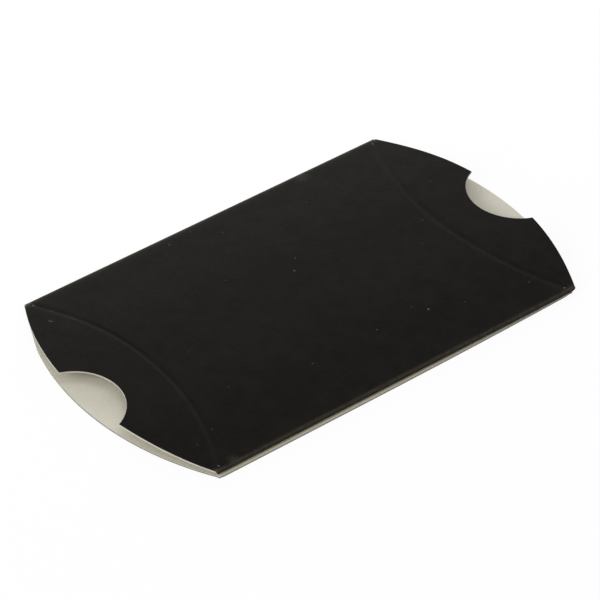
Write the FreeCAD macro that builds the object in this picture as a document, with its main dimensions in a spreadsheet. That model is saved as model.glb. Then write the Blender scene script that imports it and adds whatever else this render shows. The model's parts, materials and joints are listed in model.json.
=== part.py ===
import FreeCAD, Part
import os

# A pillow box in its flat state: one creased paperboard blank folded into a sleeve.
# +X runs along the sleeve, the glued seam is at -Y, and the lower sheet lies on Z = 0.
# Each sheet bends along two lines parallel to X, so it is a middle strip and two side strips.

# Driving dimensions, in millimetres and degrees
SIZES = {
    # thickness of the paperboard
    "board": 0.45,
    # length of the long edges, from crease corner to crease corner
    "panel_length": 92.2,
    # width of a sheet, from fold to fold
    "panel_width": 65.0,
    # how far the curved end crease dips into the panel at its middle
    "crease_depth": 8.7,
    # how far the end flaps bulge past the corners
    "flap_bulge": 8.7,
    # width of the middle strip that stays level when the sheet bends
    "crown_width": 13.6,
    # slope of the upper side strips while the box is flat, left by the spring of the board
    "rest_bow": 3.3,
    # slope of every side strip when the box is set up
    "erect_bow": 19.1,
    # thumb notch of the upper flaps: its radius, the board left between it and the crease,
    # and how far it sits in front of the sheet's middle
    "notch_radius": 10.95,
    "notch_bridge": 9.9,
    "notch_shift": 0.85,
    # glue tab inside the front seam
    "tab_width": 12.0,
    "tab_length": 88.0,
    "tab_taper": 6.0,
    # line of adhesive under the tab
    "glue_thickness": 0.08,
    "glue_width": 8.0,
    "glue_length": 74.0,
    "glue_inset": 2.0,
    # room between the tab and the upper sheet that is folded over it
    "seam_clearance": 0.1,
    # raw edge of the lower sheet that shows past the front fold
    "seam_overhang": 0.72,
    # angle kept free between the two lips of a fold when the box is set up
    "lip_clearance": 2.0,
    # how far a cutting solid runs past the board
    "overrun": 1.0,
}

# Sizes that follow from the driving dimensions, as expressions
HALF_LENGTH = "(Sizes.panel_length / 2)"
HALF_WIDTH = "(Sizes.panel_width / 2)"
BEND = "(Sizes.crown_width / 2)"
SIDE_WIDTH = f"({HALF_WIDTH} - {BEND})"
EDGE_GAP = "(Sizes.glue_thickness + Sizes.board + Sizes.seam_clearance)"
BACK_RADIUS = f"({EDGE_GAP} / 2)"
FRONT_RADIUS = "(Sizes.seam_clearance / 2)"
UPPER_LEVEL = f"(Sizes.board + {EDGE_GAP} + {SIDE_WIDTH} * sin(Sizes.rest_bow))"
TAB_LEVEL = "(Sizes.board + Sizes.glue_thickness)"
LIP_ANGLE = "(90 - Sizes.erect_bow - Sizes.lip_clearance)"
CREASE_MIDDLE = f"({HALF_LENGTH} - Sizes.crease_depth)"
NOTCH_CENTRE = f"({CREASE_MIDDLE} + Sizes.notch_bridge + Sizes.notch_radius)"
ZERO = "0"

# The three strips of a sheet: the line each one bends about, its low edge from there and its width
STRIPS = {
    "back": (BEND, ZERO, SIDE_WIDTH),
    "middle": (ZERO, f"-{BEND}", "Sizes.crown_width"),
    "front": (f"-{BEND}", f"-{SIDE_WIDTH}", SIDE_WIDTH),
}
SLOPES = {"back": "-Sizes.rest_bow", "middle": ZERO, "front": "Sizes.rest_bow"}
ENDS = {"left": "-1", "right": "1"}

doc = FreeCAD.newDocument("pillow_box")
sheet = doc.addObject("Spreadsheet::Sheet", "Sizes")
for row, (alias, size) in enumerate(SIZES.items(), start=1):
    cell = f"A{row}"
    sheet.set(cell, str(size))
    sheet.setAlias(cell, alias)
doc.recompute()

sub_parts = []


def arc_radius(depth):
    """Radius of the arc that spans the sheet's width and is that deep at its middle."""
    return f"(({depth} ^ 2 + {HALF_WIDTH} ^ 2) / (2 * {depth}))"


def move_to(item, x, y, z):
    """Bind an object's place to three expressions."""
    for axis, value in zip("xyz", (x, y, z)):
        item.setExpression(f"Placement.Base.{axis}", value)


def block(name, x, y, z, length, width, height):
    """A box from its low corner."""
    item = doc.addObject("Part::Box", name)
    item.setExpression("Length", length)
    item.setExpression("Width", width)
    item.setExpression("Height", height)
    move_to(item, x, y, z)
    return item


def disc(name, x, y, radius):
    """An upright cylinder that runs past both faces of a sheet."""
    item = doc.addObject("Part::Cylinder", name)
    item.setExpression("Radius", radius)
    item.setExpression("Height", "Sizes.board + 2 * Sizes.overrun")
    move_to(item, x, y, "-Sizes.overrun")
    return item


def cut(name, base, tool):
    item = doc.addObject("Part::Cut", name)
    item.Base = base
    item.Tool = tool
    return item


def common(name, pieces):
    item = doc.addObject("Part::MultiCommon", name)
    item.Shapes = pieces
    return item


def fuse(name, pieces):
    item = doc.addObject("Part::MultiFuse", name)
    item.Shapes = pieces
    return item


def keep(item, label):
    """Name a finished sub-part."""
    item.Label = label
    sub_parts.append(item)


def keep_on_bend(item, label, strip, level, sloped):
    """Place a sub-part on its bend line, at the level and slope of its sheet, and name it."""
    move_to(item, ZERO, STRIPS[strip][0], level)
    if sloped:
        # One degree only sets the turning axis; the expression then sets the angle
        item.Placement.Rotation = FreeCAD.Rotation(FreeCAD.Vector(1, 0, 0), 1)
        item.setExpression("Placement.Rotation.Angle", SLOPES[strip])
    keep(item, label)


def crease_disc(name, end, strip):
    """The disc whose rim is the curved crease at one end, seen from a strip's bend line."""
    radius = arc_radius("Sizes.crease_depth")
    x = f"{ENDS[end]} * ({CREASE_MIDDLE} + {radius})"
    return disc(name, x, f"-{STRIPS[strip][0]}", radius)


def lip(name, y, z, side, upward, inner_radius, length):
    """The rolled edge of a fold: part of a tube along X that starts over or under the fold line."""
    start = FreeCAD.Vector(0, 0, 1 if upward else -1)
    sweep = FreeCAD.Vector(0, side, 0)
    along = start.cross(sweep)
    tubes = []
    for layer, radius in (("outer", f"{inner_radius} + Sizes.board"), ("inner", inner_radius)):
        tube = doc.addObject("Part::Cylinder", f"{name}_{layer}")
        tube.Placement.Rotation = FreeCAD.Rotation(start, sweep, along, "XYZ")
        tube.setExpression("Radius", radius)
        tube.setExpression("Height", length)
        tube.setExpression("Angle", LIP_ANGLE)
        move_to(tube, f"{-along.x} * {length} / 2", y, z)
        tubes.append(tube)
    return cut(name, *tubes)


def panel_strip(name, strip):
    """A strip of a panel, with both ends cut to the curved creases."""
    low, width = STRIPS[strip][1:]
    item = block(f"{name}_blank", f"-{HALF_LENGTH}", low, ZERO, "Sizes.panel_length", width, "Sizes.board")
    for end in ENDS:
        item = cut(f"{name}_{end}_end", item, crease_disc(f"{name}_{end}_crease", end, strip))
    return item


def flap_strip(name, strip, end):
    """A strip of an end flap, between the curved crease and the outer arc."""
    line, low, width = STRIPS[strip]
    reach = "(Sizes.crease_depth + Sizes.flap_bulge + 2 * Sizes.overrun)"
    inner_x = f"({CREASE_MIDDLE} - Sizes.overrun)"
    low_x = inner_x if end == "right" else f"(-{inner_x} - {reach})"
    band = block(f"{name}_band", low_x, low, ZERO, reach, width, "Sizes.board")
    radius = arc_radius("Sizes.flap_bulge")
    rim_x = f"{ENDS[end]} * ({HALF_LENGTH} + Sizes.flap_bulge - {radius})"
    rim = disc(f"{name}_rim", rim_x, f"-{line}", radius)
    return common(f"{name}_lens", [band, rim, crease_disc(f"{name}_crease", end, strip)])


# Lower sheet: the panel and its plain flaps, with a rolled lip at the back fold
for strip in STRIPS:
    name = f"bottom_panel_{strip}"
    piece = panel_strip(name, strip)
    if strip == "back":
        middle = f"Sizes.board + {BACK_RADIUS}"
        roll = lip(f"{name}_lip", SIDE_WIDTH, middle, 1, False, BACK_RADIUS, "Sizes.panel_length")
        piece = fuse(f"{name}_rolled", [piece, roll])
    if strip == "front":
        edge = f"-{SIDE_WIDTH} - Sizes.seam_overhang"
        ledge = block(f"{name}_ledge", f"-{HALF_LENGTH}", edge, ZERO,
                      "Sizes.panel_length", "Sizes.seam_overhang", "Sizes.board")
        piece = fuse(f"{name}_ledged", [piece, ledge])
    keep_on_bend(piece, name, strip, ZERO, False)
    for end in ENDS:
        name = f"bottom_{end}_flap_{strip}"
        keep_on_bend(flap_strip(name, strip, end), name, strip, ZERO, False)

# Upper sheet: the bowed panel with a rolled lip at both folds, and its notched flaps
for strip in STRIPS:
    name = f"top_panel_{strip}"
    piece = panel_strip(name, strip)
    if strip == "back":
        roll = lip(f"{name}_lip", SIDE_WIDTH, f"-{BACK_RADIUS}", 1, True, BACK_RADIUS, "Sizes.panel_length")
        piece = fuse(f"{name}_rolled", [piece, roll])
    if strip == "front":
        roll = lip(f"{name}_lip", f"-{SIDE_WIDTH}", f"-{FRONT_RADIUS}", -1, True, FRONT_RADIUS,
                   "Sizes.panel_length")
        piece = fuse(f"{name}_rolled", [piece, roll])
    keep_on_bend(piece, name, strip, UPPER_LEVEL, True)
    for end in ENDS:
        name = f"top_{end}_flap_{strip}"
        lens = flap_strip(name, strip, end)
        notch_x = f"{ENDS[end]} * {NOTCH_CENTRE}"
        notch_y = f"-{STRIPS[strip][0]} - Sizes.notch_shift"
        notch = disc(f"{name}_notch", notch_x, notch_y, "Sizes.notch_radius")
        keep_on_bend(cut(f"{name}_notched", lens, notch), name, strip, UPPER_LEVEL, True)

# Glue tab: folded in under the front edge of the upper sheet, stuck to the lower one
tab = doc.addObject("Part::Wedge", "glue_tab_blank")
for level, inset in (("", ZERO), ("2", "Sizes.tab_taper")):
    tab.setExpression(f"X{level}min", f"-Sizes.tab_length / 2 + {inset}")
    tab.setExpression(f"X{level}max", f"Sizes.tab_length / 2 - {inset}")
    tab.setExpression(f"Z{level}min", ZERO)
    tab.setExpression(f"Z{level}max", "Sizes.board")
tab.setExpression("Ymin", ZERO)
tab.setExpression("Ymax", "Sizes.tab_width")
move_to(tab, ZERO, f"-{SIDE_WIDTH}", ZERO)
tab_lip = lip("glue_tab_lip", f"-{SIDE_WIDTH}", f"Sizes.board + {FRONT_RADIUS}", -1, False, FRONT_RADIUS,
              "Sizes.tab_length")
keep_on_bend(fuse("glue_tab_rolled", [tab, tab_lip]), "glue_tab", "front", TAB_LEVEL, False)

# Adhesive between the tab and the lower sheet
glue = block("glue_line_film", "-Sizes.glue_length / 2", f"-{HALF_WIDTH} + Sizes.glue_inset", "Sizes.board",
             "Sizes.glue_length", "Sizes.glue_width", "Sizes.glue_thickness")
keep(glue, "glue_line")

doc.recompute()

# Every object has to be sound before anything is written
for item in doc.Objects:
    if {"Invalid", "Error"} & set(item.State):
        raise RuntimeError(f"{item.Name} failed: {item.State}")
for item in sub_parts:
    if item.Shape.isNull() or not item.Shape.isValid():
        raise RuntimeError(f"{item.Label} has no sound shape")
    if len(item.Shape.Solids) != 1:
        raise RuntimeError(f"{item.Label} is not one solid")

os.makedirs("parts", exist_ok=True)
for item in sub_parts:
    item.Shape.exportStep(f"parts/{item.Label}.step")
    print(item.Label, round(item.Shape.Volume, 3))
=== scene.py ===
import json
import math

import bmesh
import bpy
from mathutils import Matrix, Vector


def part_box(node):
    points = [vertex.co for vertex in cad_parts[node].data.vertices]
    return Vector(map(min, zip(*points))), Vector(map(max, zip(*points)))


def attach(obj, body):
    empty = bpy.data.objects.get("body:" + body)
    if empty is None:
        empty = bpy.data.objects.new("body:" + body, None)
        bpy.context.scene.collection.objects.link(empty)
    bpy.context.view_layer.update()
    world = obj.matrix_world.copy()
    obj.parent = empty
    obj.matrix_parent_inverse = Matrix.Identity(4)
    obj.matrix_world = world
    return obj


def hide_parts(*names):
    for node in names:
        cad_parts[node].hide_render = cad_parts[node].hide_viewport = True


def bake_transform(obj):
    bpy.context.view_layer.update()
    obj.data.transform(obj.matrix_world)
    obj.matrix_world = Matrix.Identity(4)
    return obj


# Looks of the flat pillow box: smooth bowed sheets of black board in place of the straight strips.
# +X runs along the sleeve, the glued seam is at -Y, and the lower sheet lies on the floor.

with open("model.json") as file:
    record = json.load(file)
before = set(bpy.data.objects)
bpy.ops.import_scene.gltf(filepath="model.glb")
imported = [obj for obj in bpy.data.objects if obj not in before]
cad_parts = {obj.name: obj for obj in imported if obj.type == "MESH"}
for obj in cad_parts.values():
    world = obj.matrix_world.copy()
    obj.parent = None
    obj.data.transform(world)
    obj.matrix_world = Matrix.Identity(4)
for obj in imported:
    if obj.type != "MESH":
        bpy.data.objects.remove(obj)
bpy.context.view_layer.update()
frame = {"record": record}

MM = 0.001
ENDS = {"left": -1, "right": 1}
SIDES = {"back": 1, "front": -1}

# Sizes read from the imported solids
lower_low, lower_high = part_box("bottom_panel_middle")
BOARD = lower_high.z - lower_low.z
BEND = lower_high.y
HALF_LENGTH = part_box("bottom_panel_back")[1].x
HALF_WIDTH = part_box("bottom_right_flap_back")[1].y
LEDGE = -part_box("bottom_panel_front")[0].y - HALF_WIDTH
CREASE_X = -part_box("bottom_left_flap_middle")[1].x
RIM_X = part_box("bottom_right_flap_middle")[1].x
UPPER_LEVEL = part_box("top_panel_middle")[0].z
EDGE_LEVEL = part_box("top_right_flap_back")[0].z
REST_BOW = math.asin((UPPER_LEVEL - EDGE_LEVEL) / (HALF_WIDTH - BEND))

# The joints, and how far a sheet's side is turned when the box is set up
JOINTS = {joint["name"]: joint for joint in frame["record"]["behaviour"]["joints"]}
SET_UP_BOW = math.radians(JOINTS["erect"]["range_deg"][1])


def ease(share):
    """Smooth step from 0 to 1."""
    share = min(max(share, 0), 1)
    return share * share * (3 - 2 * share)


def arc_radius(depth):
    """Radius of the arc that spans the sheet's width and is that deep at its middle."""
    return (depth ** 2 + HALF_WIDTH ** 2) / (2 * depth)


def arc_drop(radius, y):
    """How far an arc has left its middle tangent at that distance from the middle."""
    y = min(abs(y), HALF_WIDTH)
    return radius - math.sqrt(radius ** 2 - y ** 2)


def fold_line(sheet):
    """Where the flap of a sheet folds: the line's middle along X, and the slope of its sides.

    On that slope the bowed panel and the bowed flap meet when the box is set up.
    """
    fold = JOINTS[f"{sheet}_right_flap_fold"]
    turn = math.radians(fold["range_deg"][1])
    return fold["pos_m"][0], math.sin(SET_UP_BOW) * (1 + 1 / math.tan(turn))


def rim_corner(side):
    """Where the thumb notch meets the rim on one side: how far along X, and how far from the middle."""
    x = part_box(f"top_right_flap_{side}")[1].x
    return x, math.sqrt(RIM_RADIUS ** 2 - (x - RIM_X + RIM_RADIUS) ** 2)


def circle_through(first, second, third):
    """Centre and radius of the circle through three places."""
    one = second - first
    two = third - first
    turn = 2 * one.cross(two)
    across = (two.y * one.length_squared - one.y * two.length_squared) / turn
    along = (one.x * two.length_squared - two.x * one.length_squared) / turn
    return first + Vector((across, along)), math.hypot(across, along)


# Arcs of the creases and of the flaps' rims, and the lines on which the flaps fold
CREASE_RADIUS = arc_radius(HALF_LENGTH - CREASE_X)
RIM_BULGE = RIM_X - HALF_LENGTH
RIM_RADIUS = arc_radius(RIM_BULGE)
FOLDS = {sheet: fold_line(sheet) for sheet in ("bottom", "top")}

# The pressed line of a crease, which ends a little inside the corner
GROOVE_INSET = 0.7 * MM
GROOVE_RADIUS = arc_radius(HALF_LENGTH - GROOVE_INSET - CREASE_X)
CREASE_PRESS = 0.15 * MM
CREASE_REACH = 0.6 * MM

# The upper flaps are blunt at their tips, most of all at the right front corner
TIP_REACH = 0.35 * MM
BLUNTEST_REACH = 0.85 * MM
TIP_ROLL = math.radians(100)

# The lower flaps reach a little further, and are cut back towards their back tips
LOWER_REACH = 0.25 * MM
LOWER_CUT = 0.35 * MM
LOWER_CUT_SHARES = (0.6, 0.8)

# The thumb notch, from three places on its edge: where it crosses the back bend line, and both corners
back_x, back_out = rim_corner("back")
front_x, front_out = rim_corner("front")
NOTCH_CORNERS = {SIDES["back"]: back_out, SIDES["front"]: front_out}
NOTCH, NOTCH_RADIUS = circle_through(
    Vector((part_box("top_right_flap_middle")[1].x, BEND)),
    Vector((back_x, back_out)),
    Vector((front_x, -front_out)),
)

# Glue tab: its lower face, its half length at the fold, its free edge, and how much shorter it is there
tab_low, tab_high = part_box("glue_tab")
TAB_LEVEL = tab_low.z
TAB_HALF_LENGTH = tab_high.x
TAB_EDGE = -tab_high.y
TAB_WIDTH = HALF_WIDTH - TAB_EDGE
TAB_TAPER_SHARE = 0.5
TAB_TAPER = TAB_WIDTH * TAB_TAPER_SHARE

# Fold along the back edge: inner and outer radius, and how far it turns
BACK_INNER = (EDGE_LEVEL - BOARD) / 2
BACK_OUTER = BACK_INNER + BOARD
BACK_TURN = math.pi - REST_BOW

# Fold along the front edge: how far the upper sheet and the tab in it are rolled, and how they thin out
FRONT_INNER = (EDGE_LEVEL - TAB_LEVEL - BOARD) / 2
FRONT_OUTER = FRONT_INNER + BOARD
FRONT_ROLL = math.radians(138)
TAB_ROLL = math.radians(115)
ROLL_TAPER = math.radians(50)
ROLL_SKIN_SHARE = 0.45

# Slight unevenness of the upper sheet. Each wave has its shares of X and Y, and its start in radians
RIPPLE = 0.05 * MM
RIPPLE_LENGTH = 31 * MM
RIPPLE_WAVES = ((1, 0.4, 0), (0.53, -0.71, 1))

# Shares of the ledge's width along the front edge, and the slit between it and the lower flap's tip
LEDGE_LEFT_SHARE = 1.34
LEDGE_LOSS_SHARE = 1.2
LEDGE_LOSS_POWER = 3.5
LEDGE_LEAST_SHARE = 0.03
LEDGE_STEP = 0.02 * MM

# Scuffed corners, and lighter lines and bands along the folds and creases: partly rub, partly painted
# highlight and sheen
CORNER_WEAR_REACH = 0.55 * MM
# The light line on a fold's top: partly rub, partly a painted highlight on the rounded fold
FOLD_WEAR_AND_HIGHLIGHT_PLACE = 0.22 * MM
FOLD_WEAR_AND_HIGHLIGHT_REACH = 0.28 * MM
FOLD_WEAR_AND_HIGHLIGHT_SHARE = 0.95
# The roll of a fold is lighter all over
ROLL_LIGHTENING_SHARE = 0.6
# A band of painted sheen beside the back fold, partly rub
BACK_SHEEN_AND_RUB_REACH = 1.0 * MM
BACK_SHEEN_AND_RUB_SHARE = 0.3
# A light line along each crease: a painted highlight, partly rub on the ridge
CREASE_HIGHLIGHT_AND_RUB_PLACE = 0.25 * MM
CREASE_HIGHLIGHT_AND_RUB_REACH = 0.35 * MM
CREASE_HIGHLIGHT_AND_RUB_SHARE = 0.1

# Rows across a sheet, columns along it, and how strongly the columns crowd towards the fold lines
NOTCH_ROWS = 24
EDGE_ROWS = 44
ROLL_ROWS = 14
TAB_ROWS = 16
GLUE_ROWS = 8
PANEL_COLUMNS = 56
PANEL_CROWDING = 1.5
FLAP_COLUMNS = 26
FLAP_CROWDING = 1.6
STRAIGHT_COLUMNS = 40

# Outlines of the flat sheets


def crease_x(y):
    return CREASE_X + arc_drop(CREASE_RADIUS, y)


def rim_x(y):
    return RIM_X - arc_drop(RIM_RADIUS, y)


def lower_rim_x(end, y):
    """The outer edge of a lower flap, alike at both ends."""
    low, high = LOWER_CUT_SHARES
    cut_back = LOWER_CUT * ease((y / HALF_WIDTH - low) / (high - low))
    return max(rim_x(y) + LOWER_REACH - cut_back, crease_x(y))


def upper_rim_x(end, y):
    """The outer edge of an upper flap: the notch, the arc, and the round tip past the long edge."""
    if abs(y) < NOTCH_CORNERS[math.copysign(1, y)]:
        return NOTCH.x - math.sqrt(NOTCH_RADIUS ** 2 - (y - NOTCH.y) ** 2)
    reach = BLUNTEST_REACH if end > 0 > y else TIP_REACH
    if abs(y) <= HALF_WIDTH:
        return RIM_X - arc_drop(arc_radius(RIM_BULGE - reach), y)
    share = (abs(y) - HALF_WIDTH) / (FRONT_OUTER * TIP_ROLL)
    return HALF_LENGTH + reach * math.sqrt(max(1 - share ** 2, 0))


def panel_end(sheet, end, y):
    """Where a panel ends when flat: on its flap's fold line, or past a long edge at its own end.

    The ledge's end starts flush with the rim of the flap beside it.
    """
    out = abs(y)
    if out > HALF_WIDTH and sheet == "top":
        return upper_rim_x(end, y)
    if out > HALF_WIDTH:
        return HALF_LENGTH + LOWER_REACH * (1 - (out - HALF_WIDTH) / LEDGE)
    middle, slope = FOLDS[sheet]
    return middle + slope * (out - BEND) * ease(out / HALF_WIDTH)


def tab_half_length(y):
    share = (HALF_WIDTH + y) / TAB_WIDTH
    return TAB_HALF_LENGTH - TAB_TAPER * max(share, 0)


# Forms of the sheets: each place function takes a place on the flat sheet and a height within the board


def past_crease(x, y):
    """How far a flat place is past the pressed line of a crease, towards the end of the sleeve."""
    return GROOVE_RADIUS - math.hypot(abs(x) - CREASE_X - GROOVE_RADIUS, y)


def crease_press(x, y):
    """How far the curved crease pushes the board in at a place on the flat sheet."""
    return CREASE_PRESS * math.exp(-(past_crease(x, y) / CREASE_REACH) ** 2)


def ripple(x, y):
    """The unevenness of the upper sheet, which fades out towards the folds."""
    turn = 2 * math.pi / RIPPLE_LENGTH
    waves = [math.sin(turn * (along * x + across * y) + start) for along, across, start in RIPPLE_WAVES]
    return RIPPLE * sum(waves) / len(waves) * (1 - ease(abs(y) / HALF_WIDTH))


def bowed(x, side, out, height, turn):
    """A place on the upper sheet, turned about its bend line. Out is the distance from the middle."""
    arm = out - BEND
    along = arm * math.cos(turn) + height * math.sin(turn)
    rise = height * math.cos(turn) - arm * math.sin(turn)
    return Vector((x, side * (BEND + along), UPPER_LEVEL + rise))


def rolled(reach, height, inner_radius):
    """Where a sheet lies that is rolled in past the long edge: distance from the middle, and height."""
    turn = reach / (inner_radius + BOARD)
    radius = inner_radius + height
    return HALF_WIDTH + radius * math.sin(turn), radius * math.cos(turn) - inner_radius


def skin(height, reach, from_outside):
    """Height within the board in a roll, thinned so that the fold's two layers slide on each other."""
    share = (1 - ROLL_SKIN_SHARE) * ease(reach / FRONT_OUTER / ROLL_TAPER)
    if from_outside:
        return max(height, BOARD * share)
    return min(height, BOARD * (1 - share))


def upper_place(x, y, height):
    """A place on the upper sheet. Past the front edge, y runs on round the rolled fold."""
    side = math.copysign(1, y)
    out = abs(y)
    if out > HALF_WIDTH:
        reach = out - HALF_WIDTH
        out, height = rolled(reach, skin(height, reach, True), FRONT_INNER)
        return bowed(x, side, out, height, REST_BOW)
    height += ripple(x, y) - crease_press(x, y)
    return bowed(x, side, out, height, REST_BOW * ease(out / HALF_WIDTH))


def ledge_share(x):
    """How much of the raw ledge shows past the front fold: less and less towards the right end."""
    along = max(x + HALF_LENGTH, 0) / (2 * HALF_LENGTH)
    return max(LEDGE_LEFT_SHARE - LEDGE_LOSS_SHARE * along ** LEDGE_LOSS_POWER, LEDGE_LEAST_SHARE)


def lower_place(x, y, height):
    """A place on the lower sheet. Past the front edge is the raw ledge."""
    past = -y - HALF_WIDTH
    if past > 0:
        y = -HALF_WIDTH - past * ledge_share(x)
    return Vector((x, y, height + crease_press(x, y)))


def tab_place(x, y, height):
    """A place on the glue tab, outer face down. Past the front edge, y runs on round the fold."""
    out = -y
    if out > HALF_WIDTH:
        reach = out - HALF_WIDTH
        out, inward = rolled(reach, skin(BOARD - height, reach, False), FRONT_INNER)
        height = BOARD - inward
    return Vector((x, -out, TAB_LEVEL + height))


def back_place(x, y, height):
    """A place on the fold along the back edge. Y runs round it from the lower sheet to the upper one."""
    turn = (y - HALF_WIDTH) / BACK_OUTER
    lower_centre = Vector((x, HALF_WIDTH, BOARD + BACK_INNER))
    upper_centre = bowed(x, 1, HALF_WIDTH, -BACK_INNER, REST_BOW)
    centre = lower_centre.lerp(upper_centre, turn / BACK_TURN)
    radius = BACK_INNER + height
    return centre + Vector((0, radius * math.sin(turn), -radius * math.cos(turn)))


# Grids of flat places


def even_rows(first, last, count):
    """Even steps from the first row to the last one."""
    return [first + (last - first) * row / count for row in range(count + 1)]


def sheet_rows(side):
    """Distances from the middle to one side: even steps round the notch, then on to the long edge."""
    corner = NOTCH_CORNERS[side]
    first = math.asin(-side * NOTCH.y / NOTCH_RADIUS)
    sweep = math.asin((corner - side * NOTCH.y) / NOTCH_RADIUS) - first
    rows = [0.0]
    for row in range(1, NOTCH_ROWS):
        rows.append(side * NOTCH.y + NOTCH_RADIUS * math.sin(first + sweep * row / NOTCH_ROWS))
    return rows + even_rows(corner, HALF_WIDTH, EDGE_ROWS)


def roll_rows(turn):
    """Distances from the middle past the long edge, round a roll of that turn."""
    return [HALF_WIDTH + FRONT_OUTER * turn * row / ROLL_ROWS for row in range(1, ROLL_ROWS + 1)]


def panel_flat(sheet, side, rows):
    """Flat places of half a panel, in columns from the left fold to the right one.

    The sign of a step tells which end its column is nearer to.
    """
    columns = []
    for step in range(-PANEL_COLUMNS, PANEL_COLUMNS + 1):
        share = abs(step) / PANEL_COLUMNS
        share = math.copysign(1 - (1 - share) ** PANEL_CROWDING, step)
        columns.append([(share * panel_end(sheet, step, side * y), side * y) for y in rows])
    return columns


def flap_flat(sheet, end, side, edge_x, rows):
    """Flat places of half a flap, in columns from its fold to its outer edge."""
    columns = [[] for step in range(FLAP_COLUMNS + 1)]
    for y in rows:
        fold = panel_end(sheet, end, side * y)
        reach = edge_x(end, side * y) - fold
        for step, column in enumerate(columns):
            column.append((end * (fold + reach * (step / FLAP_COLUMNS) ** FLAP_CROWDING), side * y))
    return columns


def straight_flat(half_length, rows):
    """Flat places of a strip along X. Half_length gives its half length at a row."""
    return [
        [(half_length(y) * (2 * step / STRAIGHT_COLUMNS - 1), y) for y in rows]
        for step in range(STRAIGHT_COLUMNS + 1)
    ]


# Closed pieces of board

# Slots of a piece's materials
OUTER, INNER, CUT = range(3)


def wear_and_sheen_at(flat):
    """The share of scuff and of painted sheen at a flat place, whose Z is the depth below the outer
    face.

    It is most scuffed at the four corners and lightened most on the fold lines, whose light line is
    partly rub and partly a painted highlight on the rounded fold. It is lightened less round the folds,
    beside the back one in a band of painted sheen that is partly rub, and along the creases by a painted
    highlight that is partly rub. Past a long edge the inner face, such as the raw ledge, is bare all
    over.
    """
    fold = abs(flat.y) - HALF_WIDTH
    if fold > 0 and flat.z > 0:
        return 1
    corner = math.hypot(abs(flat.x) - HALF_LENGTH, fold)
    wear_and_sheen = math.exp(-(corner / CORNER_WEAR_REACH) ** 2)
    # The light line on a fold's top: partly rub, partly a painted highlight on the rounded fold
    line = math.exp(-((fold - FOLD_WEAR_AND_HIGHLIGHT_PLACE) / FOLD_WEAR_AND_HIGHLIGHT_REACH) ** 2)
    wear_and_sheen += FOLD_WEAR_AND_HIGHLIGHT_SHARE * line
    # Lighter all over round the folds
    if fold > FOLD_WEAR_AND_HIGHLIGHT_PLACE:
        wear_and_sheen += ROLL_LIGHTENING_SHARE * (1 - line)
    # A band of painted sheen beside the back fold, partly rub
    elif flat.y > 0:
        wear_and_sheen += BACK_SHEEN_AND_RUB_SHARE * math.exp(fold / BACK_SHEEN_AND_RUB_REACH)
    # A light line along each crease: a painted highlight, partly rub on the ridge
    crease = (past_crease(flat.x, flat.y) - CREASE_HIGHLIGHT_AND_RUB_PLACE) / CREASE_HIGHLIGHT_AND_RUB_REACH
    return min(wear_and_sheen + CREASE_HIGHLIGHT_AND_RUB_SHARE * math.exp(-crease ** 2), 1)


class Board:
    """Gathers the points and faces of one closed piece of board."""

    # Places that round to the same multiple of this are one point
    MERGE = MM / 100000

    def __init__(self):
        self.known = {}
        self.places = []
        self.flats = []
        self.faces = []
        self.slots = []
        self.sides = []

    def point(self, place, flat):
        """The number of the point at a place, which is added unless it is known."""
        key = tuple(round(value / self.MERGE) for value in place)
        if key not in self.known:
            self.known[key] = len(self.places)
            self.places.append(place)
            self.flats.append(Vector(flat))
        return self.known[key]

    def face(self, side, slot, *corners):
        """A face on one side of the board, left out where its corners run together at a flap's tip."""
        ring = list(dict.fromkeys(corners))
        if len(ring) > 2:
            self.faces.append(ring)
            self.slots.append(slot)
            self.sides.append(side)


def board_piece(name, flat_columns, place, outside_up, materials, walls):
    """A closed piece of board over a grid of flat places.

    Walls are the slots of its first and last column and of its first and last row.
    Past a long edge, the walls of the columns are cut ones.
    """
    board = Board()
    layers = []
    for depth in (0, BOARD):
        height = BOARD - depth if outside_up else depth
        layers.append([
            [board.point(place(x, y, height), (x, y, depth)) for x, y in column]
            for column in flat_columns
        ])
    outer, inner = layers
    last_column = len(flat_columns) - 1
    last_row = len(flat_columns[0]) - 1
    for slot, grid in ((OUTER, outer), (INNER, inner)):
        for i in range(last_column):
            for j in range(last_row):
                board.face(slot, slot, grid[i][j], grid[i + 1][j], grid[i + 1][j + 1], grid[i][j + 1])
    for slot, i in zip(walls[:2], (0, last_column)):
        for j in range(last_row):
            wall = CUT if abs(flat_columns[i][j][1]) >= HALF_WIDTH else slot
            board.face(("column", i), wall, outer[i][j], outer[i][j + 1], inner[i][j + 1], inner[i][j])
    for slot, j in zip(walls[2:], (0, last_row)):
        for i in range(last_column):
            board.face(("row", j), slot, outer[i][j], outer[i + 1][j], inner[i + 1][j], inner[i][j])
    return finished_piece(name, board, materials)


def finished_piece(name, board, materials):
    """The mesh object of a gathered board, smooth within each of its sides and sharp between them."""
    mesh = bpy.data.meshes.new(name)
    mesh.from_pydata(board.places, [], board.faces)
    for material in materials:
        mesh.materials.append(material)
    for polygon, slot in zip(mesh.polygons, board.slots):
        polygon.material_index = slot
        polygon.use_smooth = True
    work = bmesh.new()
    work.from_mesh(mesh)
    bmesh.ops.recalc_face_normals(work, faces=work.faces)
    for edge in work.edges:
        edge.smooth = len({board.sides[face.index] for face in edge.link_faces}) == 1
    work.to_mesh(mesh)
    work.free()
    flats = [value for place in board.flats for value in place]
    mesh.attributes.new("flat", "FLOAT_VECTOR", "POINT").data.foreach_set("vector", flats)
    wear_and_sheen = [wear_and_sheen_at(place) for place in board.flats]
    mesh.attributes.new("wear_and_sheen", "FLOAT", "POINT").data.foreach_set("value", wear_and_sheen)
    piece = bpy.data.objects.new(name, mesh)
    bpy.context.scene.collection.objects.link(piece)
    return piece


# Materials

PER_MM = 1 / MM
WHITE = (1, 1, 1, 1)

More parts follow.
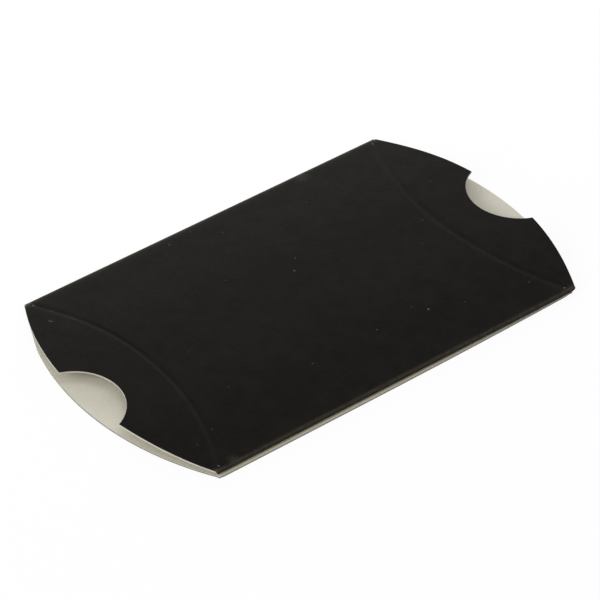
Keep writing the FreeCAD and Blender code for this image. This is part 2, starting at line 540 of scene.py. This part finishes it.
# Inputs and output of a mixing node that carry colours
COLOUR_INPUTS = (6, 7)
COLOUR_OUTPUT = 2

# The band in which most of a noise's values lie, and a wider one
NOISE_BAND = (0.3, 0.7)
WIDE_BAND = (0.25, 0.75)


def add_node(tree, kind, inputs=None, **settings):
    """A shader node with its settings and inputs. An input is a value or another node's socket."""
    made = tree.nodes.new(kind)
    for name, value in settings.items():
        setattr(made, name, value)
    for name, value in (inputs or {}).items():
        if isinstance(value, bpy.types.NodeSocket):
            tree.links.new(value, made.inputs[name])
        else:
            made.inputs[name].default_value = value
    return made


def new_material(name):
    """An empty material and its shader, whose output is linked."""
    material = bpy.data.materials.new(name)
    material.use_nodes = True
    tree = material.node_tree
    tree.nodes.clear()
    shader = add_node(tree, "ShaderNodeBsdfPrincipled")
    add_node(tree, "ShaderNodeOutputMaterial", {"Surface": shader.outputs[0]})
    return material, tree, shader


def flat_place(tree):
    """Where a point lies on the flat sheet, with its depth below the outer face as Z."""
    return add_node(tree, "ShaderNodeAttribute", attribute_name="flat").outputs["Vector"]


def wear_and_sheen_share(tree):
    """How scuffed the board is at a point, with the painted sheen and highlights of the folds and
    creases.
    """
    return add_node(tree, "ShaderNodeAttribute", attribute_name="wear_and_sheen").outputs["Fac"]


def stretched(tree, place, scale):
    """A place scaled along its axes. A noise is drawn out along those that have a scale below 1."""
    return add_node(tree, "ShaderNodeMapping", {"Vector": place, "Scale": scale}).outputs[0]


def noise(tree, place, kind):
    """A noise. Its kind is its lumps per millimetre, its number of finer layers and their strength."""
    per_mm, detail, roughness = kind
    inputs = {"Vector": place, "Scale": per_mm * PER_MM, "Detail": detail, "Roughness": roughness}
    return add_node(tree, "ShaderNodeTexNoise", inputs).outputs[0]


def ranged(tree, value, band, target=(0.0, 1.0)):
    """A value moved from a band to the target band, and held within that."""
    low, high = band
    to_low, to_high = target
    inputs = {"Value": value, "From Min": low, "From Max": high, "To Min": to_low, "To Max": to_high}
    return add_node(tree, "ShaderNodeMapRange", inputs).outputs[0]


def combine(tree, operation, first, second):
    return add_node(tree, "ShaderNodeMath", {0: first, 1: second}, operation=operation).outputs[0]


def layered(tree, noises, shares):
    """The sum of two noises, each up to its share."""
    first, second = [
        ranged(tree, value, NOISE_BAND, (0.0, share))
        for value, share in zip(noises, shares)
    ]
    return combine(tree, "ADD", first, second)


def mixed(tree, share, first, second):
    """A colour between two others, which are colours or sockets."""
    node = add_node(tree, "ShaderNodeMix", {0: share}, data_type="RGBA")
    for number, value in zip(COLOUR_INPUTS, (first, second)):
        if isinstance(value, bpy.types.NodeSocket):
            tree.links.new(value, node.inputs[number])
        else:
            node.inputs[number].default_value = (*value, 1)
    return node.outputs[COLOUR_OUTPUT]


def specks(tree, place, kind):
    """Small round spots, at most one in each cell of a random pattern.

    Their kind is the cells per millimetre, the share of cells that keep their spot, and a spot's size
    as a share of its cell.
    """
    per_mm, kept_share, size_share = kind
    inputs = {"Vector": place, "Scale": per_mm * PER_MM}
    cells = add_node(tree, "ShaderNodeTexVoronoi", inputs, voronoi_dimensions="2D")
    near = ranged(tree, cells.outputs["Distance"], (size_share, size_share / 2))
    lot = add_node(tree, "ShaderNodeSeparateColor", {"Color": cells.outputs["Color"]}).outputs[0]
    chosen = ranged(tree, lot, (kept_share, 0.0))
    return combine(tree, "MULTIPLY", near, chosen)


def spot(tree, place, x, y, radius, core_share):
    """A round spot on the outer face that fades from its core to its rim."""
    inputs = {0: place, 1: (x, y, 0)}
    away = add_node(tree, "ShaderNodeVectorMath", inputs, operation="DISTANCE").outputs["Value"]
    return ranged(tree, away, (radius, radius * core_share))


def link_surface(tree, shader, colour, roughness):
    tree.links.new(colour, shader.inputs["Base Color"])
    tree.links.new(roughness, shader.inputs["Roughness"])


def link_bump(tree, shader, height, depth, under=None):
    """Unevenness of that depth, on top of another one if that is given."""
    inputs = {"Height": height, "Distance": depth}
    if under is not None:
        inputs["Normal"] = under
    bump = add_node(tree, "ShaderNodeBump", inputs)
    tree.links.new(bump.outputs[0], shader.inputs["Normal"])
    return bump.outputs[0]


# Black outside: the paper's tooth and its faint cloudiness
TOOTH = (1.2, 6.0, 0.65)
TOOTH_DEPTH = 0.055 * MM
CLOUDS = (0.2, 4.0, 0.7)
CLOUDS_DEPTH = 0.04 * MM
TOOTH_AND_CLOUDS_SHARES = (0.6, 0.5)
BLACK_COLOURS = ((0.0018, 0.0014, 0.0006), (0.0092, 0.0083, 0.0065))
BLACK_ROUGHNESS = (0.48, 0.74)
BLACK_SPECULAR = 0.03

# Scuffed black, which also gives the painted sheen and highlights on the folds and creases: patchy at
# the folds and corners, and torn in the rub marks
PATCHES = (0.7, 6.0, 0.7)
PATCH_SHARES = (0.35, 1.0)
TEARS = (2.4, 6.0, 0.75)
TEAR_BAND = (0.42, 0.68)
WORN_AND_SHEEN_COLOUR = (0.058, 0.049, 0.039)

# Rubbed places beside the folds: shares of the half length and half width, and how far each reaches
RUBS = (
    (0.55, 0.97, 2.4 * MM),
    (-0.90, -0.98, 1.7 * MM),
)

# Scuffs at the ends of the creases
SCUFF_INSET = 0.9 * MM
SCUFF_RADIUS = 0.3 * MM
SCUFF_CORE_SHARE = 0.5
SCUFF_LEVEL_SHARE = 0.6

# Dust: fine specks all over, and the size of the larger ones
FINE_DUST = (0.2, 0.07, 0.024)
DUST_COLOUR = (0.20, 0.19, 0.17)
DUST_RADIUS = 0.24 * MM
DUST_CORE_SHARE = 0.3

# Larger specks on the upper sheet: shares of its half length and half width, and how bright each is
DUST_MARKS = (
    (0.38, -0.63, 0.9),
    (0.07, 0.18, 0.6),
    (-0.99, 0.76, 0.6),
    (-0.985, 0.745, 0.45),
    (-0.94, 0.84, 0.2),
    (0.13, 0.28, 0.35),
    (-0.24, 0.93, 0.4),
    (-0.26, -0.60, 0.3),
)


def crease_end_scuffs(tree, place):
    """A small rubbed spot at each end of a crease, where the board is pinched."""
    mirrored = add_node(tree, "ShaderNodeVectorMath", {0: place}, operation="ABSOLUTE").outputs[0]
    y = HALF_WIDTH - SCUFF_INSET
    x = CREASE_X + arc_drop(GROOVE_RADIUS, y)
    return spot(tree, mirrored, x, y, SCUFF_RADIUS, SCUFF_CORE_SHARE)


def dust_marks(tree, place):
    """The few larger specks of dust."""
    marks = 0.0
    for x_share, y_share, level in DUST_MARKS:
        x = x_share * HALF_LENGTH
        y = y_share * HALF_WIDTH
        mark = spot(tree, place, x, y, DUST_RADIUS, DUST_CORE_SHARE)
        marks = combine(tree, "MAXIMUM", marks, combine(tree, "MULTIPLY", mark, level))
    return marks


def rubbed_places(tree, place, rubbed_and_sheen):
    """The rub and painted sheen so far, with the torn black of the rub marks added."""
    torn = ranged(tree, noise(tree, place, TEARS), TEAR_BAND)
    for x_share, y_share, reach in RUBS:
        rub = spot(tree, place, x_share * HALF_LENGTH, y_share * HALF_WIDTH, reach, 0)
        rubbed_and_sheen = combine(tree, "ADD", rubbed_and_sheen, combine(tree, "MULTIPLY", rub, torn))
    return rubbed_and_sheen


def black_board(name, marked):
    """Matt black outside: paper tooth, faint clouds, pale dust, scuffs, scuffed corners, and folds and
    creases lightened partly by rub and partly by painted sheen and highlights.

    A marked one also has the larger specks and the rub marks.
    """
    material, tree, shader = new_material(name)
    place = flat_place(tree)
    tooth = noise(tree, place, TOOTH)
    clouds = noise(tree, place, CLOUDS)
    black = mixed(tree, layered(tree, (tooth, clouds), TOOTH_AND_CLOUDS_SHARES), *BLACK_COLOURS)
    patchy = ranged(tree, noise(tree, place, PATCHES), NOISE_BAND, PATCH_SHARES)
    # The scuffs, and the painted sheen and highlights on the folds and creases
    rubbed_and_sheen = combine(tree, "MULTIPLY", wear_and_sheen_share(tree), patchy)
    scuff_level = combine(tree, "MULTIPLY", patchy, SCUFF_LEVEL_SHARE)
    scuffs = combine(tree, "MULTIPLY", crease_end_scuffs(tree, place), scuff_level)
    dust = combine(tree, "MAXIMUM", specks(tree, place, FINE_DUST), scuffs)
    if marked:
        rubbed_and_sheen = rubbed_places(tree, place, rubbed_and_sheen)
        dust = combine(tree, "MAXIMUM", dust, dust_marks(tree, place))
    # Lighter brown where scuffed, and where sheen and highlights are painted on the folds and creases
    worn_and_sheen = mixed(tree, rubbed_and_sheen, black, WORN_AND_SHEEN_COLOUR)
    colour = mixed(tree, dust, worn_and_sheen, DUST_COLOUR)
    link_surface(tree, shader, colour, ranged(tree, tooth, NOISE_BAND, BLACK_ROUGHNESS))
    shader.inputs["Specular IOR Level"].default_value = BLACK_SPECULAR
    soft = link_bump(tree, shader, clouds, CLOUDS_DEPTH)
    link_bump(tree, shader, tooth, TOOTH_DEPTH, under=soft)
    return material


# Uncoated inside: fibres along the sleeve, a mottled tone and flecks, aged where the board is bare
INSIDE_FIBRES = (2.4, 5.0, 0.65)
INSIDE_FIBRE_SCALE = (0.25, 1.0, 1.0)
INSIDE_FIBRE_DEPTH = 0.02 * MM
MOTTLE = (0.16, 3.0, 0.55)
FIBRES_AND_MOTTLE_SHARES = (0.6, 0.4)
INSIDE_COLOURS = ((0.56, 0.535, 0.45), (0.66, 0.635, 0.545))
AGED_SHARE = 0.8
AGED_COLOUR = (0.58, 0.53, 0.39)
FLECKS = (0.8, 0.1, 0.09)
FLECK_COLOUR = (0.40, 0.37, 0.31)
INSIDE_ROUGHNESS = (0.78, 0.92)
INSIDE_SPECULAR = 0.25


def board_inside():
    """Uncoated off-white inside: fibres, flecks and a slightly mottled tone."""
    material, tree, shader = new_material("board_inside")
    place = flat_place(tree)
    fibres = noise(tree, stretched(tree, place, INSIDE_FIBRE_SCALE), INSIDE_FIBRES)
    mottle = noise(tree, place, MOTTLE)
    pale = mixed(tree, layered(tree, (fibres, mottle), FIBRES_AND_MOTTLE_SHARES), *INSIDE_COLOURS)
    aged = mixed(tree, combine(tree, "MULTIPLY", wear_and_sheen_share(tree), AGED_SHARE), pale, AGED_COLOUR)
    colour = mixed(tree, specks(tree, place, FLECKS), aged, FLECK_COLOUR)
    link_surface(tree, shader, colour, ranged(tree, fibres, WIDE_BAND, INSIDE_ROUGHNESS))
    shader.inputs["Specular IOR Level"].default_value = INSIDE_SPECULAR
    link_bump(tree, shader, fibres, INSIDE_FIBRE_DEPTH)
    return material


# Raw cut edges: plies, torn fibres, and the outside's black skin. The lower sheet's edges are darker,
# which is painted shade, and their dark band at the bottom is deeper: the black skin, and partly painted
# shade along the floor
PLIES = (2.6, 3.0, 0.55)
PLY_SCALE = (0.12, 0.12, 3.0)
EDGE_FIBRES = (2.2, 5.0, 0.7)
EDGE_FIBRE_DEPTH = 0.03 * MM
PLIES_AND_FIBRES_SHARES = (0.6, 0.4)
CLEAN_COLOURS = ((0.36, 0.34, 0.285), (0.55, 0.525, 0.46))
# Darker colours of the lower sheet's cut edges: painted shade
SHADED_EDGE_COLOURS = ((0.29, 0.27, 0.215), (0.45, 0.43, 0.36))
CLEAN_SKIN = 0.06 * MM
# The lower sheet's deeper dark band: its black skin, and partly painted shade along the floor
LOWER_SKIN_AND_SHADE = 0.14 * MM
SKIN_FADE_SHARES = (1.5, 0.5)
SKIN_COLOUR = (0.02, 0.018, 0.015)
EDGE_ROUGHNESS = (0.8, 0.95)
EDGE_SPECULAR = 0.2


def cut_edge(name, skin_depth, colours):
    """Raw cut edge: cream board with fine plies, torn fibres, and the black skin of the outside."""
    material, tree, shader = new_material(name)
    place = flat_place(tree)
    plies = noise(tree, stretched(tree, place, PLY_SCALE), PLIES)
    fibres = noise(tree, place, EDGE_FIBRES)
    pale = mixed(tree, layered(tree, (plies, fibres), PLIES_AND_FIBRES_SHARES), *colours)
    depth = add_node(tree, "ShaderNodeSeparateXYZ", {0: place}).outputs["Z"]
    skin_edge = ranged(tree, depth, [share * skin_depth for share in SKIN_FADE_SHARES])
    colour = mixed(tree, skin_edge, pale, SKIN_COLOUR)
    link_surface(tree, shader, colour, ranged(tree, fibres, WIDE_BAND, EDGE_ROUGHNESS))
    shader.inputs["Specular IOR Level"].default_value = EDGE_SPECULAR
    link_bump(tree, shader, fibres, EDGE_FIBRE_DEPTH)
    return material


# Dried adhesive
SMEARS = (0.5, 4.0, 0.55)
SMEAR_DEPTH = 0.03 * MM
GLUE_COLOURS = ((0.58, 0.53, 0.38), (0.72, 0.68, 0.55))
GLUE_ROUGHNESS = (0.3, 0.5)


def dried_adhesive():
    """Dried white adhesive: slightly yellow, half glossy and uneven."""
    material, tree, shader = new_material("dried_adhesive")
    smears = noise(tree, flat_place(tree), SMEARS)
    colour = mixed(tree, ranged(tree, smears, NOISE_BAND), *GLUE_COLOURS)
    link_surface(tree, shader, colour, ranged(tree, smears, NOISE_BAND, GLUE_ROUGHNESS))
    link_bump(tree, shader, smears, SMEAR_DEPTH)
    return material


INSIDE = board_inside()
CLEAN_EDGE = cut_edge("board_cut_edge", CLEAN_SKIN, CLEAN_COLOURS)
# The lower sheet's cut edges, darkened with painted shade
SHADED_LOWER_EDGE = cut_edge("board_cut_edge_low_shaded", LOWER_SKIN_AND_SHADE, SHADED_EDGE_COLOURS)
SHEET = (black_board("black_board_outside", True), INSIDE, CLEAN_EDGE)
UNDERSHEET = (black_board("black_board_underside", False), INSIDE, SHADED_LOWER_EDGE)
GLUE = dried_adhesive()
ADHESIVE = (GLUE, GLUE, GLUE)

# Pieces

# The upper sheet, in a back and a front half that bow about their bend lines
UPPER_EDGE = bowed(0, 1, HALF_WIDTH, 0, REST_BOW)
for side, sign in SIDES.items():
    rows = sheet_rows(sign)
    if side == "front":
        rows += roll_rows(FRONT_ROLL)
    flat = panel_flat("top", sign, rows)
    walls = (OUTER, OUTER, INNER, OUTER)
    piece = board_piece(f"upper_panel_{side}", flat, upper_place, True, SHEET, walls)
    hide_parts("top_panel_middle", f"top_panel_{side}")
    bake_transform(piece)

# The lower sheet, likewise, with a raw ledge past the front fold
for side, sign in SIDES.items():
    rows = sheet_rows(sign)
    if side == "front":
        rows += [HALF_WIDTH + LEDGE_STEP, HALF_WIDTH + LEDGE]
    flat = panel_flat("bottom", sign, rows)
    walls = (OUTER, OUTER, INNER, CUT)
    piece = board_piece(f"lower_panel_{side}", flat, lower_place, False, UNDERSHEET, walls)
    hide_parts("bottom_panel_middle", f"bottom_panel_{side}")
    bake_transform(piece)

# The end flaps, each in two halves: plain below, notched above
LAYERS = {
    "lower": ("bottom", lower_place, lower_rim_x, False, HALF_WIDTH, UNDERSHEET),
    "upper": ("top", upper_place, upper_rim_x, True, UPPER_EDGE.y, SHEET),
}
for layer, (sheet, place, edge_x, outside_up, edge_y, materials) in LAYERS.items():
    for end, end_sign in ENDS.items():
        for side, sign in SIDES.items():
            flat = flap_flat(sheet, end_sign, sign, edge_x, sheet_rows(sign))
            walls = (OUTER, CUT, INNER, CUT)
            piece = board_piece(f"{layer}_{end}_flap_{side}", flat, place, outside_up, materials, walls)
            flap = f"{sheet}_{end}_flap"
            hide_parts(f"{flap}_middle", f"{flap}_{side}")
            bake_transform(piece)

# The fold along the back edge, which opens between the two sheets
rows = even_rows(HALF_WIDTH, HALF_WIDTH + BACK_OUTER * BACK_TURN, ROLL_ROWS)
flat = straight_flat(lambda y: HALF_LENGTH, rows)
piece = board_piece("back_fold", flat, back_place, True, SHEET, (CUT, CUT, INNER, INNER))
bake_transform(piece)

# The glue tab, rolled up inside the front fold
rows = even_rows(-TAB_EDGE, -HALF_WIDTH, TAB_ROWS)
rows += [-out for out in roll_rows(TAB_ROLL)]
flat = straight_flat(tab_half_length, rows)
piece = board_piece("glue_tab_sheet", flat, tab_place, False, SHEET, (CUT, CUT, CUT, OUTER))
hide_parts("glue_tab")
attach(piece, "bottom_front")

# The adhesive under the tab, with uneven edges
glue_low, glue_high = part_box("glue_line")
GLUE_WAVE = 0.4 * MM
GLUE_WAVE_LENGTH = 13 * MM


def glue_place(x, y, height):
    """A place on the adhesive. Off goes from -1 at its front edge to 1 at its back edge."""
    off = 2 * (y - glue_low.y) / (glue_high.y - glue_low.y) - 1
    wave = math.sin(2 * math.pi * x / GLUE_WAVE_LENGTH)
    across = y + GLUE_WAVE / 2 * (abs(off) * wave - off)
    return Vector((x, across, glue_low.z + height / BOARD * (glue_high.z - glue_low.z)))


rows = even_rows(glue_low.y, glue_high.y, GLUE_ROWS)
flat = straight_flat(lambda y: glue_high.x, rows)
piece = board_piece("adhesive_film", flat, glue_place, True, ADHESIVE, (OUTER, OUTER, OUTER, OUTER))
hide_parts("glue_line")
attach(piece, "bottom_front")

# Floor and light

FLOOR_SIZE = 4.0
FLOOR_LEVEL = -0.05 * MM
FLOOR_COLOUR = (0.95, 0.95, 0.95, 1)
FLOOR_GLOW_SHARE = 0.92
WORLD_LEVEL = 0.52

# Lamps: place, width and height in metres, and power in watts
LAMPS = {
    "key_left": ((-0.9, 0.05, 0.42), (0.8, 0.5), 6.5),
    "overhead": ((0.35, 0.15, 1.1), (0.8, 0.8), 1.5),
    "low_back": ((0.11, 0.23, 0.085), (0.45, 0.1), 0.43),
}


def seen_directly(tree):
    """1 where a surface is seen by itself, mirrored or through glass, 0 where it only gives light."""
    path = add_node(tree, "ShaderNodeLightPath")
    seen = combine(tree, "MAXIMUM", path.outputs["Is Camera Ray"], path.outputs["Is Glossy Ray"])
    return combine(tree, "MAXIMUM", seen, path.outputs["Is Transmission Ray"])


def pale_floor():
    """White floor with a soft shadow: partly lit, partly plain white to the eye, clear from below."""
    material = bpy.data.materials.new("pale_floor")
    material.use_nodes = True
    tree = material.node_tree
    tree.nodes.clear()
    lit = add_node(tree, "ShaderNodeBsdfDiffuse", {"Color": FLOOR_COLOUR})
    glow = add_node(tree, "ShaderNodeEmission", {"Color": WHITE})
    share = combine(tree, "MULTIPLY", seen_directly(tree), FLOOR_GLOW_SHARE)
    top = add_node(tree, "ShaderNodeMixShader", {0: share, 1: lit.outputs[0], 2: glow.outputs[0]})
    clear = add_node(tree, "ShaderNodeBsdfTransparent")
    below = add_node(tree, "ShaderNodeNewGeometry").outputs["Backfacing"]
    both = add_node(tree, "ShaderNodeMixShader", {0: below, 1: top.outputs[0], 2: clear.outputs[0]})
    add_node(tree, "ShaderNodeOutputMaterial", {"Surface": both.outputs[0]})
    return material


def studio_world():
    """Even pale surroundings: white to the eye, at a lower level as light."""
    world = bpy.data.worlds.new("studio")
    world.use_nodes = True
    tree = world.node_tree
    tree.nodes.clear()
    level = ranged(tree, seen_directly(tree), (0.0, 1.0), (WORLD_LEVEL, 1.0))
    back = add_node(tree, "ShaderNodeBackground", {"Color": WHITE, "Strength": level})
    add_node(tree, "ShaderNodeOutputWorld", {"Surface": back.outputs[0]})
    bpy.context.scene.world = world


def area_light(name, place, size, power):
    """A lamp of that width and height that faces the object."""
    data = bpy.data.lights.new(name, "AREA")
    data.shape = "RECTANGLE"
    data.size, data.size_y = size
    data.energy = power
    lamp = bpy.data.objects.new(name, data)
    lamp.location = place
    lamp.rotation_euler = (-Vector(place)).to_track_quat("-Z", "Y").to_euler()
    lamp.visible_camera = False
    bpy.context.scene.collection.objects.link(lamp)


floor_mesh = bpy.data.meshes.new("floor")
corner_signs = ((-1, -1), (1, -1), (1, 1), (-1, 1))
floor_corners = [(x * FLOOR_SIZE / 2, y * FLOOR_SIZE / 2, FLOOR_LEVEL) for x, y in corner_signs]
floor_mesh.from_pydata(floor_corners, [], [range(len(floor_corners))])
floor_mesh.materials.append(pale_floor())
floor = bpy.data.objects.new("floor", floor_mesh)
bpy.context.scene.collection.objects.link(floor)

studio_world()
for name, (place, size, power) in LAMPS.items():
    area_light(name, place, size, power)

# Camera: its direction, its distance as a share of the sheet's width, and its lens
AZIMUTH = math.radians(-38.1)
ELEVATION = math.radians(39.09)
DISTANCE_SHARE = 12.196
DISTANCE = DISTANCE_SHARE * 2 * HALF_WIDTH
SENSOR = 36.0
FOCAL_SHARE = 6.3988
SHIFT_SHARES = (0.00068, -0.0061)

camera_data = bpy.data.cameras.new("camera")
camera_data.sensor_width = SENSOR
camera_data.lens = SENSOR * FOCAL_SHARE
camera_data.shift_x, camera_data.shift_y = SHIFT_SHARES
camera = bpy.data.objects.new("camera", camera_data)
toward = Vector((
    math.sin(AZIMUTH) * math.cos(ELEVATION),
    -math.cos(AZIMUTH) * math.cos(ELEVATION),
    math.sin(ELEVATION),
))
camera.location = Vector((0, 0, EDGE_LEVEL + BOARD)) + toward * DISTANCE
camera.rotation_euler = (-toward).to_track_quat("-Z", "Y").to_euler()
bpy.context.scene.collection.objects.link(camera)
bpy.context.scene.camera = camera
bpy.context.scene.view_settings.view_transform = "Standard"
